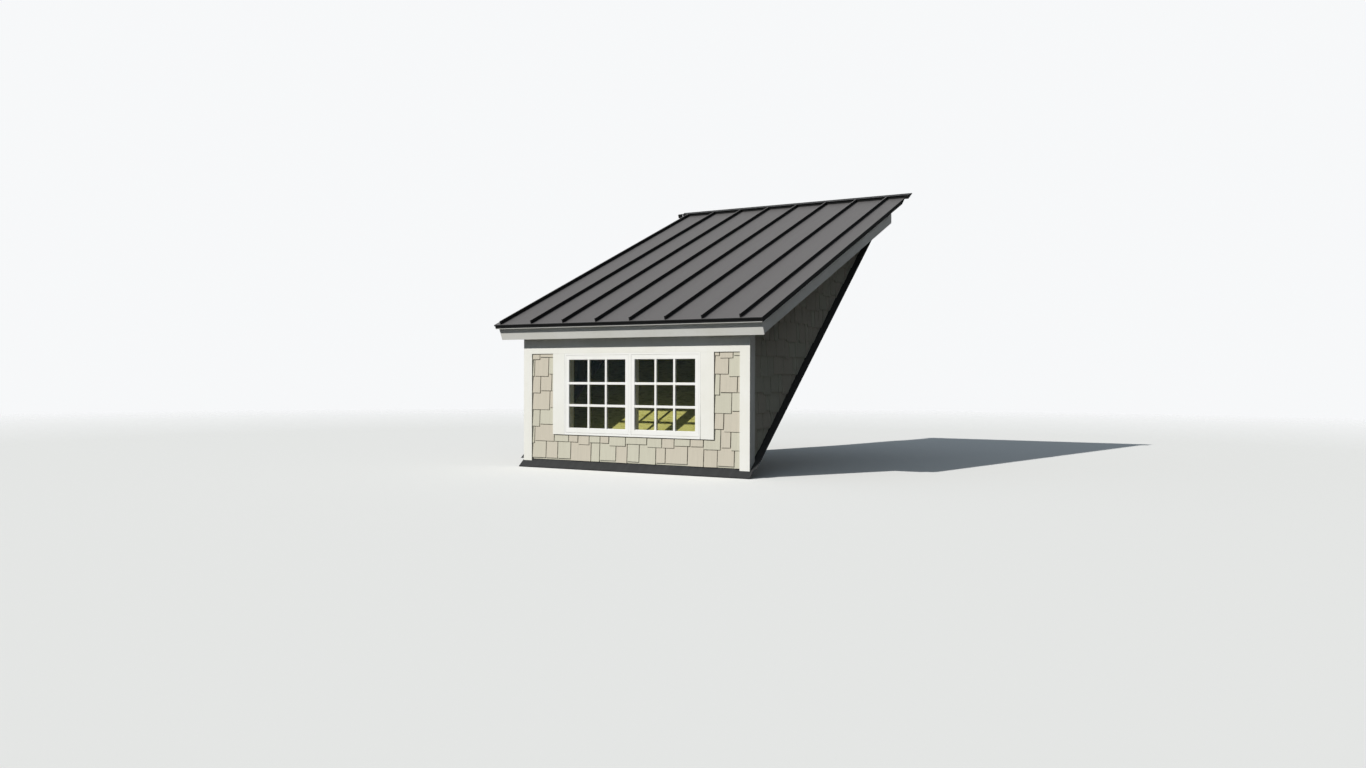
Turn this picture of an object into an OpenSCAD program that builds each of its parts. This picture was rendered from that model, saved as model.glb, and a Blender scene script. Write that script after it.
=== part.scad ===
// Shed dormer on a pitched main roof: a framed front wall with a twin window, two triangular
// cheeks, and a standing-seam roof that runs back up to the main roof.
// X runs along the front from left to right, Y runs back into the main roof and Z is up.
// The origin is on the underside of the roof deck, under the face of the front sheathing.

/* [Overall] */
// Width over the corner boards
body_w = 2720; // [2300:10:3400]
// Height of the top of the front wall plate over the origin
wall_h = 1420; // [1250:2:1800]
// Rise of the main roof in a run of 12
main_rise = 9.85; // [8:0.05:14]
// Rise of the dormer's own roof in a run of 12
dormer_rise = 5.05; // [3:0.05:6]

/* [Main roof] */
// Thickness of the roof deck that the dormer stands on
deck_t = 16; // [12:1:25]
// Thickness of the roof covering around the dormer, over the deck
cover_t = 8; // [5:1:20]

/* [Framing] */
// Thickness of the framing lumber
stud_t = 38; // [36:1:50]
// Depth of the wall studs and plates
stud_d = 89; // [70:1:140]
// Widest spacing of the studs, centre to centre
stud_gap = 407; // [300:1:610]
// Depth of the rafters
rafter_d = 140; // [89:1:235]
// Widest spacing of the rafters, centre to centre
rafter_gap = 407; // [300:1:610]
// Depth of the rafters' cut over the wall plate, at the face of the front wall
rafter_seat = 18; // [10:1:40]
// Depth of the window header
header_d = 184; // [140:1:235]
// Widest spacing of the lookouts under the rakes
lookout_gap = 610; // [400:5:900]
// Least height of the cheek studs
least_stud = 75; // [50:5:200]

/* [Sheathing] */
// Thickness of the wall sheathing
wall_ply = 12; // [9:1:19]
// Thickness of the dormer's roof sheathing
roof_ply = 13; // [9:1:19]
// Gap that the flashing legs need between the sheathing and what is nailed over it
wrap_gap = 0.9; // [0.8:0.1:0.9]

/* [Siding] */
// Height of one shingle course
course_h = 178; // [100:1:250]
// Height of the lowest shingle butts on the front, over the origin
course_start = 42; // [36:1:80]
// Thickness of the siding at a butt
siding_butt = 17; // [10:1:20]
// Thickness of the siding just under the next butt
siding_tip = 7; // [4:1:9]
// Clearance between the siding's lower edge and the main roof covering
siding_clear = 15; // [10:1:40]

/* [Trim] */
// Distance from the sheathing to the outer face of the trim
trim_face = 25; // [20:1:32]
// Width of the corner boards on the front
corner_w = 108; // [80:1:150]
// Width of the corner boards on the cheeks, from the outer face of the front trim
corner_return = 108; // [80:1:150]
// Clearance under the corner boards
foot_gap = 2; // [1:1:20]
// Joint between neighbouring trim boards
trim_joint = 0.5; // [0.3:0.1:0.9]

/* [Window] */
// Width of the window unit over its frame
window_w = 1640; // [1200:10:1800]
// Drop from the top of the wall plate to the window unit's upper edge
window_drop = 266; // [240:1:320]
// Height of the window unit's lower edge over the origin
window_z = 303; // [250:1:400]
// Gap between the window unit and the rough opening in the wall
rough_gap = 6; // [4:1:12]
// Width of the side casings
casing_w = 150; // [80:1:160]
// Thickness of the frame's jambs and head
jamb_t = 18; // [15:1:30]
// Thickness of the frame's sill at its outer edge
sill_t = 22; // [18:1:40]
// Width of the mullion between the sashes
mullion_w = 30; // [24:1:80]
// Height of the stops behind the sashes
stop_h = 12; // [8:1:16]
// Clearance around each sash
sash_gap = 2; // [1:0.5:4]
// Clearance between the sashes and the stops behind them
seat_gap = 0.3; // [0.2:0.1:0.5]
// Width of the sash stiles
stile_w = 44; // [36:1:60]
// Width of the sash rails
rail_w = 50; // [40:1:70]
// Thickness of the sashes
sash_t = 35; // [30:1:45]
// Distance from the casing's face to the face of the sashes
sash_inset = 1; // [0:0.5:10]
// Thickness of the glass
glass_t = 4; // [3:1:6]
// Distance from the sash's face to the glass
glass_inset = 14; // [8:1:18]
// Width of the bevel on the sashes' inner edges
bevel_w = 6; // [3:1:10]
// Thickness of the bevelled edge where it meets the glass
bevel_lip = 3; // [2:0.5:5]
// Depth of the groove that holds the glass
groove_d = 9; // [6:1:12]
// Clearance around the glass in its groove
glass_gap = 0.3; // [0.2:0.1:0.6]

/* [Eave and rakes] */
// Distance from the front wall to the fascia's face, along the roof
eave_reach = 228; // [150:1:400]
// Distance from the corner boards' outer face to the rake boards' outer face
rake_reach = 207; // [120:1:350]
// Thickness of the fascia and the rake boards
board_t = 19; // [16:1:25]
// Height of the fascia under the roof sheathing
fascia_h = 171; // [145:1:240]
// Height of the rake boards under the roof sheathing
rake_h = 160; // [145:1:240]
// Height of the drip strips on the fascia and the rake boards
strip_h = 48; // [36:1:60]
// Thickness of the drip strip on the fascia
strip_t = 32; // [19:1:40]
// Thickness of the soffit boards
soffit_t = 8; // [6:1:19]
// Distance from the wall's face to the rake boards' upper ends, short of the main roof
rake_cut = 3350; // [2400:10:5000]

/* [Metal roof] */
// Thickness of the roof panels and flashings
sheet_t = 0.7; // [0.6:0.1:1]
// Width of one roof panel, seam to seam
panel_w = 410.4; // [300:0.1:500]
// Distance from the left edge of the roof to the first seam
first_seam = 84; // [60:1:200]
// Height of the seams
seam_h = 38; // [25:1:50]
// Width of the seams
seam_w = 13; // [10:1:20]
// Depth of the hook on each seam
seam_hook = 18; // [10:1:22]
// Gap between the two legs folded into a seam
seam_gap = 0.4; // [0.3:0.1:0.6]
// Distance from the eave edge to the ends of the seams
seam_start = 12; // [10:1:120]
// Height of the panels over the roof sheathing
panel_lift = 0.9; // [0.8:0.1:0.9]
// Clearance between sheets of metal that lie on each other
lay_gap = 0.2; // [0.1:0.1:0.3]
// Overhang of the panels past the drip strips
panel_over = 6; // [5:1:20]
// Height of the panels' turned-down edges
panel_hem = 13; // [8:1:20]
// Height of the drip edge's face at the eave
drip_face = 38; // [20:1:42]
// Reach of the kick at the foot of the drip edge and the rake trims
kick = 2; // [2:0.5:10]
// Height of the drip edge and the rake trims over the sheathing
trim_lift = 0.1; // [0.1:0.05:0.15]
// Width of the drip edge's leg on the sheathing
drip_leg = 100; // [50:1:150]
// Height of the rake trim's face
rake_face = 49; // [25:1:60]

/* [Flashing] */
// Width of the apron flashing on the main roof
apron_w = 120; // [60:1:200]
// Reach of the apron past the left corner board
apron_left = 11; // [0:1:150]
// Reach of the apron past the right corner board
apron_right = 33; // [0:1:150]
// Height of the apron's turned-down front edge
apron_hem = 6; // [4:1:15]
// Height of the flashing legs on the walls
flashing_leg = 60; // [40:1:100]
// Clearance between the flashing legs and the sheathing behind them
leg_gap = 0.1; // [0.05:0.05:0.1]
// Width of the step flashing on the main roof
step_w = 60; // [40:1:120]
// Length of one piece of step flashing
step_l = 178; // [120:1:250]
// Joint between neighbouring pieces of step flashing
step_joint = 1; // [0.5:0.5:3]
// Width of the flanges on the closures between the seams
closure_w = 12; // [8:1:35]
// Distance from the closures' flanges to the panels' upper ends
closure_back = 55; // [5:1:60]
// Reach of the head flashing in front of the closures
head_lap = 10; // [4:1:40]
// Rise of the head flashing behind the closures in a run of 12
head_rise = 2.5; // [1:0.5:3]
// Width of the head flashing on the main roof's deck
head_up = 22; // [15:1:200]
// Reach of the head flashing past the left edge of the roof
head_left = 72; // [10:1:150]
// Reach of the head flashing past the right edge of the roof
head_right = 52; // [10:1:150]
// Height of the head flashing's faces at its two ends
head_end = 48; // [42:1:60]

/* [Hidden] */

// Rises over a run of 1, and the angles of the two roofs
main_m = main_rise / 12;
dormer_m = dormer_rise / 12;
main_a = atan(main_m);
dormer_a = atan(dormer_m);

// Half widths of the wall, from the outside in
body_x = body_w / 2;
ply_x = body_x - trim_face;
frame_x = ply_x - wall_ply;
cheek_x = frame_x - stud_d;

// Depths into the front wall
frame_y = wall_ply;
room_y = frame_y + stud_d;

// Height of the rafters over the wall plate, at the face of the front wall
rafter_heel = rafter_d / cos(dormer_a) - rafter_seat;

// Height of the roof sheathing's upper face, over the origin
roof_top = wall_h + rafter_heel + roof_ply / cos(dormer_a) - frame_y * dormer_m;

// Heights square to the dormer roof, from the upper face of its sheathing
rafter_top = -roof_ply;
rafter_foot = rafter_top - rafter_d;
plate_foot = rafter_foot - stud_t;
soffit_foot = rafter_foot - soffit_t;
fascia_foot = rafter_top - fascia_h;
rake_foot = rafter_top - rake_h;
panel_top = panel_lift + sheet_t;
seam_top = panel_lift + seam_h;

// Heights square to the main roof, from the underside of its deck
cover_up = deck_t + cover_t;
sole_up = deck_t + stud_t;
foot_up = cover_up + sheet_t + foot_gap;

// Places along the dormer roof, from the face of the front sheathing: the fascia, the faces of the
// drip strip and the panels, the seams' ends and the panels' full section behind them, and their
// upper ends
fascia_s = -eave_reach;
eave_s = fascia_s - strip_t;
edge_s = eave_s - panel_over;
seam_s = edge_s + seam_start;
pan_s = seam_s + sheet_t + seam_gap;
head_s = meet_s(foot_up, panel_lift);
seam_stop = head_s - closure_back;
closure_s = seam_stop - closure_w;

// Side view points of the head flashing's underside: its front edge, the bend behind the seams
// and the bend on the main roof's deck
head_over = seam_top + lay_gap;
head_bed = deck_t + lay_gap;
head_m = head_rise / 12;
head_front = on_slope(closure_s - head_lap, head_over);
head_bend = on_slope(seam_stop + sheet_t, head_over);
head_foot_y = (head_bend.y - head_bend.x * head_m - head_bed / cos(main_a)) / (main_m - head_m);
head_foot = [head_foot_y, main_z(head_foot_y, head_bed)];
head_y = head_foot_y + head_up * cos(main_a);

// Half widths of the roof
rake_x = body_x + rake_reach;
strip_x = rake_x + board_t;
edge_x = strip_x + panel_over;

// Heights in the front wall
sole_top = main_z(room_y, deck_t) + stud_t;
plate_under = wall_h - stud_t;
window_top = wall_h - window_drop;
rough_x = window_w / 2 + rough_gap;
rough_z = window_z - rough_gap;
rough_top = window_top + rough_gap;
casing_x = window_w / 2 + casing_w;

// Height of a plane along the main roof, "up" over its deck's underside, at depth y
function main_z(y, up) = y * main_m + up / cos(main_a);

// Height of a plane along the dormer roof, "over" its sheathing's upper face, at depth y
function roof_z(y, over) = roof_top + y * dormer_m + over / cos(dormer_a);

// Side view point at distance s along the dormer roof and "over" its sheathing
function on_slope(s, over) = [
    s * cos(dormer_a) - over * sin(dormer_a),
    roof_top + s * sin(dormer_a) + over * cos(dormer_a)
];

// Depth at which those two planes meet, and the side view point there
function meet_y(up, over) =
    (roof_top + over / cos(dormer_a) - up / cos(main_a)) / (main_m - dormer_m);
function meet(up, over) = [meet_y(up, over), main_z(meet_y(up, over), up)];

// Distance along the dormer roof at which it meets a plane of the main roof
function meet_s(up, over) = meet_y(up, over) / cos(dormer_a) + over * tan(dormer_a);

// Side view outline of a board along the dormer roof that runs from s to the main roof
function slope_board(s, low, high, up) = [
    on_slope(s, low), meet(up, low), meet(up, high), on_slope(s, high)
];

// Side view outline of a piece between depths y0 and y1, from the main roof to the dormer roof
function upright(y0, y1, up, over) = [
    [y0, main_z(y0, up)], [y1, main_z(y1, up)], [y1, roof_z(y1, over)], [y0, roof_z(y0, over)]
];

// Places that split a length into equal bays no wider than gap
function bays(a, b, gap) = let (n = ceil((b - a) / gap)) [for (i = [0:n]) a + (b - a) * i / n];

// Extrudes a side view, drawn as [depth, height], from x0 to x1
module across(x0, x1) {
    translate([x0, 0, 0])
        rotate([90, 0, 90])
            linear_extrude(x1 - x0)
                children();
}

// Extrudes a section, drawn as [x, height], from s0 to s1 along the dormer roof
module along_roof(s0, s1) {
    translate([0, 0, roof_top])
        rotate([dormer_a, 0, 0])
            translate([0, s1, 0])
                rotate([90, 0, 0])
                    linear_extrude(s1 - s0)
                        children();
}

// Extrudes a front view, drawn as [x, height], from depth y0 to y1
module through_wall(y0, y1) {
    translate([0, y1, 0])
        rotate([90, 0, 0])
            linear_extrude(y1 - y0)
                children();
}

// A box between two corners
module block(low, high) {
    translate(low)
        cube(high - low);
}

// Draws its children on the right side, or mirrored on the left
module on_side(side) {
    if (side < 0)
        mirror([1, 0, 0])
            children();
    else
        children();
}

// Framing

module roof_deck() {
    color("burlywood")
        across(-body_x, body_x)
            polygon([
                [-trim_face, main_z(-trim_face, 0)],
                [head_y, main_z(head_y, 0)],
                [head_y, main_z(head_y, deck_t)],
                [-trim_face, main_z(-trim_face, deck_t)]
            ]);
}

// The plate is ripped to the main roof's slope, so that its top is level
module front_sole_plate() {
    color("wheat")
        across(-frame_x, frame_x)
            polygon([
                [frame_y, main_z(frame_y, deck_t)],
                [room_y, main_z(room_y, deck_t)],
                [room_y, sole_top],
                [frame_y, sole_top]
            ]);
}

module cheek_sole_plates() {
    for (side = [-1, 1])
        color("wheat")
            on_side(side)
                across(cheek_x, frame_x)
                    polygon([
                        [room_y, main_z(room_y, deck_t)],
                        meet(deck_t, plate_foot),
                        meet(sole_up, plate_foot),
                        [room_y, main_z(room_y, sole_up)]
                    ]);
}

module front_studs() {
    post_x = frame_x - stud_t;
    king_x = rough_x + stud_t;
    spaces = bays(king_x, post_x, stud_gap);
    under = bays(-rough_x, rough_x - stud_t, stud_gap);
    sill_under = rough_z - stud_t;
    color("wheat") {
        for (side = [-1, 1])
            on_side(side) {
                for (x = spaces)
                    block([x, frame_y, sole_top], [x + stud_t, room_y, plate_under]);
                block([rough_x, frame_y, sole_top], [rough_x + stud_t - trim_joint, room_y, rough_top]);
            }
        for (x = under)
            block(
                [x + trim_joint * (x < 0 ? 1 : -1), frame_y, sole_top],
                [x + stud_t + trim_joint * (x < 0 ? 1 : -1), room_y, sill_under]
            );
    }
}

module window_header() {
    color("wheat")
        block([-rough_x - stud_t, frame_y, rough_top], [rough_x + stud_t, room_y, rough_top + header_d]);
}

module rough_sill() {
    color("wheat")
        block([-rough_x, frame_y, rough_z - stud_t], [rough_x, room_y, rough_z]);
}

module front_top_plate() {
    color("wheat")
        block([-frame_x, frame_y, plate_under], [frame_x, room_y, wall_h]);
}

module cheek_top_plates() {
    for (side = [-1, 1])
        color("wheat")
            on_side(side)
                across(cheek_x, frame_x)
                    polygon([
                        [room_y, roof_z(room_y, plate_foot)],
                        meet(deck_t, plate_foot),
                        meet(deck_t, rafter_foot),
                        [room_y, roof_z(room_y, rafter_foot)]
                    ]);
}

module cheek_studs() {
    far = meet_y(sole_up + least_stud * cos(main_a), plate_foot);
    for (side = [-1, 1], y = [room_y:stud_gap:far])
        color("wheat")
            on_side(side)
                across(cheek_x, frame_x)
                    polygon(upright(y, y + stud_t, sole_up, plate_foot));
}

// Each rafter has a bird's mouth over the front wall and a long bevel on the roof deck
module rafters() {
    tail_s = fascia_s + board_t + stud_t;
    first = frame_x - stud_t;
    seat_y = (wall_h - roof_z(0, rafter_foot)) / dormer_m;
    color("wheat")
        for (x = bays(-frame_x, first, rafter_gap))
            across(x, x + stud_t)
                polygon([
                    on_slope(tail_s, rafter_foot),
                    [frame_y, roof_z(frame_y, rafter_foot)],
                    [frame_y, wall_h],
                    [seat_y, wall_h],
                    meet(deck_t, rafter_foot),
                    meet(deck_t, rafter_top),
                    on_slope(tail_s, rafter_top)
                ]);
}

module rake_lookouts() {
    near = 0;
    far = meet_s(cover_up, rafter_foot) - stud_t;
    for (side = [-1, 1], s = bays(near, far - stud_t, lookout_gap))
        color("wheat")
            on_side(side)
                along_roof(s, s + stud_t)
                    polygon([
                        [ply_x, rafter_foot], [rake_x - board_t, rafter_foot],
                        [rake_x - board_t, rafter_top], [ply_x, rafter_top]
                    ]);
}

// Sheathing

module front_sheathing() {
    color("tan")
        difference() {
            across(-frame_x, frame_x)
                polygon(upright(0, wall_ply, deck_t, rafter_foot));
            block([-rough_x, -1, rough_z], [rough_x, wall_ply + 1, rough_top]);
        }
}

module cheek_sheathing(side) {
    color("tan")
        on_side(side)
            across(frame_x, ply_x)
                polygon([
                    [0, main_z(0, deck_t)],
                    meet(deck_t, rafter_top),
                    [0, roof_z(0, rafter_top)]
                ]);
}

module left_sheathing() cheek_sheathing(-1);

module right_sheathing() cheek_sheathing(1);

module roof_sheathing() {
    color("tan")
        across(-rake_x, rake_x)
            polygon(slope_board(fascia_s, rafter_top, 0, cover_up));
}

// Siding

// Outline of the shingle courses between two heights, drawn as [distance from the wall, height]
function course_outline(low, high) =
    let (
        first = floor((low - course_start) / course_h),
        last = ceil((high - course_start) / course_h) - 1,
        slope = (siding_butt - siding_tip) / course_h
    )
    concat(
        [[wrap_gap, low]],
        [
            for (k = [first:last])
                let (
                    butt = course_start + k * course_h,
                    z0 = max(low, butt),
                    z1 = min(high, butt + course_h)
                )
                each [[siding_butt - slope * (z0 - butt), z0], [siding_butt - slope * (z1 - butt), z1]]
        ],
        [[wrap_gap, high]]
    );

module front_siding() {
    inner = body_x - corner_w - trim_joint;
    gap_x = casing_x + trim_joint;
    top = window_top - trim_joint;
    color("tan")
        difference() {
            across(-inner, inner)
                mirror([1, 0])
                    polygon(course_outline(course_start, top));
            block([-gap_x, -trim_face, window_z - trim_joint], [gap_x, 1, top + 1]);
        }
}

module cheek_siding(side) {
    near = corner_return - trim_face + trim_joint;
    low_up = cover_up + siding_clear;
    low = main_z(near, low_up);
    far = meet_y(low_up, soffit_foot);
    color("tan")
        on_side(side)
            intersection() {
                translate([ply_x, 0, 0])
                    through_wall(near, far)
                        polygon(course_outline(low - course_h, main_z(far, low_up) + course_h));
                across(ply_x, body_x)
                    polygon([
                        [near, low],
                        meet(low_up, soffit_foot - trim_joint),
                        [near, roof_z(near, soffit_foot - trim_joint)]
                    ]);
            }
}

module left_siding() cheek_siding(-1);

module right_siding() cheek_siding(1);

// Trim

module corner_board(side) {
    inner = body_x - corner_w;
    back = corner_return - trim_face;
    top = soffit_foot - trim_joint;
    color("white")
        on_side(side) {
            across(inner, body_x)
                polygon(upright(-trim_face, -wrap_gap, foot_up, top));
            across(ply_x + wrap_gap, body_x)
                polygon(upright(-trim_face, back, foot_up, top));
        }
}

module left_corner_board() corner_board(-1);

module right_corner_board() corner_board(1);

module frieze_board() {
    inner = body_x - corner_w - trim_joint;
    low = window_top + trim_joint;
    top = soffit_foot - trim_joint;
    color("white")
        across(-inner, inner)
            polygon([
                [-trim_face, low], [-wrap_gap, low],
                [-wrap_gap, roof_z(-wrap_gap, top)], [-trim_face, roof_z(-trim_face, top)]
            ]);
}

module casing(side) {
    color("white")
        on_side(side)
            block(
                [window_w / 2 + trim_joint, -trim_face, window_z],
                [casing_x, -wrap_gap, window_top]
            );
}

module left_casing() casing(-1);

module right_casing() casing(1);

// Window

// The half of the window that one sash fills, measured inside the frame
sash_x0 = mullion_w / 2;
sash_x1 = window_w / 2 - jamb_t;
sash_z0 = window_z + sill_t;
sash_z1 = window_top - jamb_t;
sash_y = -trim_face + sash_inset;
stop_y = sash_y + sash_t + seat_gap;

module window_frame() {
    color("white")
        difference() {
            block([-window_w / 2, -trim_face, window_z], [window_w / 2, room_y, window_top]);
            for (side = [-1, 1])
                on_side(side) {
                    block([sash_x0, -trim_face - 1, sash_z0], [sash_x1, stop_y, sash_z1]);
                    block(
                        [sash_x0 + stop_h, stop_y - 1, sash_z0 + stop_h],
                        [sash_x1 - stop_h, room_y + 1, sash_z1 - stop_h]
                    );
                }
        }
}

module sash(side) {
    outer0 = [sash_x0 + sash_gap, sash_y, sash_z0 + sash_gap];
    outer1 = [sash_x1 - sash_gap, sash_y + sash_t, sash_z1 - sash_gap];
    border = [stile_w, -1, rail_w];
    groove = [stile_w - groove_d, glass_inset - glass_gap, rail_w - groove_d];
    groove_far = [groove.x, sash_t - glass_inset - glass_t - glass_gap, groove.z];
    color("white")
        on_side(side)
            difference() {
                block(outer0, outer1);
                block(outer0 + border, outer1 - border);
                block(outer0 + groove, outer1 - groove_far);
                sash_bevel(outer0 + border, outer1 - border);
            }
}

// Cuts the bevel round an opening between two corners, with mitred corners
module sash_bevel(low, high) {
    front = sash_y;
    back = sash_y + glass_inset - glass_gap - bevel_lip;
    intersection() {
        across(low.x - bevel_w, high.x + bevel_w)
            polygon([
                [front, low.z - bevel_w], [back, low.z], [back, high.z], [front, high.z + bevel_w]
            ]);
        translate([0, 0, low.z - bevel_w])
            linear_extrude(high.z - low.z + 2 * bevel_w)
                polygon([
                    [low.x - bevel_w, front], [high.x + bevel_w, front], [high.x, back], [low.x, back]
                ]);
    }
}

module left_sash() sash(-1);

module right_sash() sash(1);

module glass(side) {
    edge = groove_d - sash_gap - glass_gap;
    color("lightblue", 0.4)
        on_side(side)
            block(
                [sash_x0 + stile_w - edge, sash_y + glass_inset, sash_z0 + rail_w - edge],
                [sash_x1 - stile_w + edge, sash_y + glass_inset + glass_t, sash_z1 - rail_w + edge]
            );
}

module left_glass() glass(-1);

module right_glass() glass(1);

// Eave and rakes

// A board square to the dormer roof, between two places along it and two heights over it
module eave_board(x, s0, s1, low, high) {
    across(-x, x)
        polygon([on_slope(s0, low), on_slope(s1, low), on_slope(s1, high), on_slope(s0, high)]);
}

module sub_fascia() {
    back = fascia_s + board_t;
    color("wheat")
        eave_board(rake_x - board_t, back, back + stud_t, rafter_foot, rafter_top);
}

module fascia_board() {
    color("white")
        eave_board(rake_x, fascia_s, fascia_s + board_t, fascia_foot, rafter_top);
}

module eave_strip() {
    color("white")
        eave_board(strip_x, eave_s, fascia_s, -strip_h, 0);
}

module rake_board(side) {
    start = fascia_s + board_t;
    color("white")
        on_side(side)
            across(rake_x - board_t, rake_x)
                intersection() {
                    polygon(slope_board(start, rake_foot, rafter_top, foot_up));
                    translate([-rake_cut, 0])
                        square(2 * rake_cut);
                }
}

module left_rake_board() rake_board(-1);

module right_rake_board() rake_board(1);

module rake_strips() {
    for (side = [-1, 1])
        color("white")
            on_side(side)
                across(rake_x, strip_x)
                    polygon(slope_board(fascia_s, -strip_h, 0, foot_up));
}

module front_soffit() {
    x = rake_x - board_t;
    start = fascia_s + board_t;
    color("white")
        across(-x, x)
            polygon([
                on_slope(start, soffit_foot),
                [0, roof_z(0, soffit_foot)],
                [0, roof_z(0, rafter_foot)],
                on_slope(start, rafter_foot)
            ]);
}

module rake_soffits() {
    for (side = [-1, 1])
        color("white")
            on_side(side)
                across(ply_x, rake_x - board_t)
                    polygon([
                        [trim_joint, roof_z(trim_joint, soffit_foot)],
                        meet(foot_up, soffit_foot),
                        meet(foot_up, rafter_foot),
                        [trim_joint, roof_z(trim_joint, rafter_foot)]
                    ]);
}

// Metal roof

// A leg on the sheathing, a face down the drip strip and a kick outwards
module eave_drip_edge() {
    low = trim_lift;
    high = trim_lift + sheet_t;
    back = eave_s - trim_lift;
    front = back - sheet_t;
    color("dimgray")
        across(-strip_x, strip_x)
            polygon([
                on_slope(eave_s + drip_leg, low),
                on_slope(eave_s + drip_leg, high),
                on_slope(front, high),
                on_slope(front, kick - drip_face),
                on_slope(back - kick, -drip_face),
                on_slope(front - kick + 2 * sheet_t, -drip_face - sheet_t),
                on_slope(back, kick - drip_face - sheet_t),
                on_slope(back, low)
            ]);
}

// The same section as the drip edge's, along a rake: its leg stops short of the drip edge's
module rake_trim(side) {
    low = trim_lift;
    high = trim_lift + sheet_t;
    back = strip_x + trim_lift;
    front = back + sheet_t;
    color("dimgray")
        on_side(side)
            difference() {
                along_roof(eave_s + trim_joint, meet_s(cover_up, 0) + strip_h)
                    polygon([
                        [strip_x - drip_leg, low],
                        [strip_x - drip_leg, high],
                        [front, high],
                        [front, kick - rake_face],
                        [back + kick, -rake_face],
                        [front + kick - 2 * sheet_t, -rake_face - sheet_t],
                        [back, kick - rake_face - sheet_t],
                        [back, low]
                    ]);
                along_roof(eave_s - 1, eave_s + drip_leg + trim_joint)
                    translate([strip_x - drip_leg - 1, 0])
                        square([drip_leg + 1 + trim_lift / 2, high + 1]);
                main_roof_below(foot_up);
            }
}

// Everything under a plane along the main roof, to cut what lands on it
module main_roof_below(up) {
    far = 2 * meet_y(0, 0);
    across(0, 2 * edge_x)
        polygon([[-far, main_z(-far, up)], [-far, -2 * far], [far, -2 * far], [far, main_z(far, up)]]);
}

module left_rake_trim() rake_trim(-1);

module right_rake_trim() rake_trim(1);

// The seams' places across the roof, from left to right
seams = [for (x = -edge_x + first_seam; x < edge_x - seam_w; x = x + panel_w) x];

// Section of a panel from seam to seam: a hooked leg on the left, and on the right a leg that
// folds over the next panel's
function panel_section(left, right) =
    let (
        t = sheet_t,
        inner = left + seam_w / 2 - 2 * t - seam_gap,
        top = seam_h - t - seam_gap,
        bend = inner - seam_w / 2 + t,
        leg = right - seam_w / 2,
        hook = right + seam_w / 2
    )
    [
        [inner, 0], [inner, top - t], [bend, top - t], [bend, top], [inner + t, top],
        [inner + t, t], [leg, t], [leg, seam_h], [hook, seam_h], [hook, seam_h - seam_hook],
        [hook - t, seam_h - seam_hook], [hook - t, seam_h - t], [leg + t, seam_h - t], [leg + t, 0]
    ];

// Section of the narrow panel at the left edge, which turns down over the rake trim
function left_section(right) =
    let (t = sheet_t, leg = right - seam_w / 2, hook = right + seam_w / 2)
    [
        [-edge_x, -panel_hem], [-edge_x, t], [leg, t], [leg, seam_h], [hook, seam_h],
        [hook, seam_h - seam_hook], [hook - t, seam_h - seam_hook], [hook - t, seam_h - t],
        [leg + t, seam_h - t], [leg + t, 0], [t - edge_x, 0], [t - edge_x, -panel_hem]
    ];

// Section of the last panel, which turns down over the right rake trim
function right_section(left) =
    let (
        t = sheet_t,
        inner = left + seam_w / 2 - 2 * t - seam_gap,
        top = seam_h - t - seam_gap,
        bend = inner - seam_w / 2 + t
    )
    [
        [inner, 0], [inner, top - t], [bend, top - t], [bend, top], [inner + t, top],
        [inner + t, t], [edge_x, t], [edge_x, -panel_hem], [edge_x - t, -panel_hem], [edge_x - t, 0]
    ];

// The front of a panel short of its seams, folded down at the eave edge
module panel_front(left, right) {
    back = pan_s + 2 * sheet_t;
    across(left, right)
        polygon([
            on_slope(edge_s, panel_lift - panel_hem),
            on_slope(edge_s, panel_top),
            on_slope(back, panel_top),
            on_slope(back, panel_lift),
            on_slope(edge_s + sheet_t, panel_lift),
            on_slope(edge_s + sheet_t, panel_lift - panel_hem)
        ]);
}

// The turned-down edge at the side of the first and the last panel, short of their full section
module side_hem(side) {
    on_side(side)
        lifted(edge_s, pan_s + sheet_t)
            translate([edge_x - sheet_t, -panel_hem])
                square([sheet_t, panel_hem + sheet_t]);
}

// The end of a seam: the outer leg runs on past the inner one and is folded shut across it
module seam_end(x) {
    leg = x - seam_w / 2;
    hook = x + seam_w / 2;
    low = sheet_t + seam_gap;
    lifted(seam_s, pan_s + sheet_t)
        difference() {
            translate([leg, 0])
                square([seam_w, seam_h]);
            translate([leg + sheet_t, -1])
                square([seam_w - 2 * sheet_t, seam_h - sheet_t + 1]);
            translate([hook - 2 * sheet_t, -1])
                square([3 * sheet_t, seam_h - seam_hook + 1]);
        }
    lifted(seam_s, seam_s + sheet_t)
        difference() {
            translate([leg, 0])
                square([seam_w, seam_h]);
            translate([x - seam_gap / 2, -1])
                square([seam_w, low + 1]);
        }
}

// Extrudes a panel's section along the roof at the panels' height
module lifted(s0, s1) {
    along_roof(s0, s1)
        translate([0, panel_lift])
            children();
}

// A panel between two places across the roof, from a section with its seams; behind the
// closures the seams are cut away and only the pan runs on
module panel_back(left, right) {
    difference() {
        lifted(pan_s, head_s)
            children();
        lifted(seam_stop, head_s + 1)
            translate([left, sheet_t])
                square([right - left, seam_h]);
    }
}

module roof_panels() {
    last = len(seams) - 1;
    gap = seam_gap / 2;
    color("dimgray") {
        union() {
            panel_back(-edge_x, seams[0] + seam_w) polygon(left_section(seams[0]));
            panel_front(-edge_x, seams[0] - gap);
            side_hem(-1);
            seam_end(seams[0]);
        }
        for (i = [1:last])
            union() {
                panel_back(seams[i - 1] - seam_w, seams[i] + seam_w)
                    polygon(panel_section(seams[i - 1], seams[i]));
                panel_front(seams[i - 1] + gap, seams[i] - gap);
                seam_end(seams[i]);
            }
        union() {
            panel_back(seams[last] - seam_w, edge_x) polygon(right_section(seams[last]));
            panel_front(seams[last] + gap, edge_x);
            side_hem(1);
        }
    }
}

// Flashing

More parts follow.
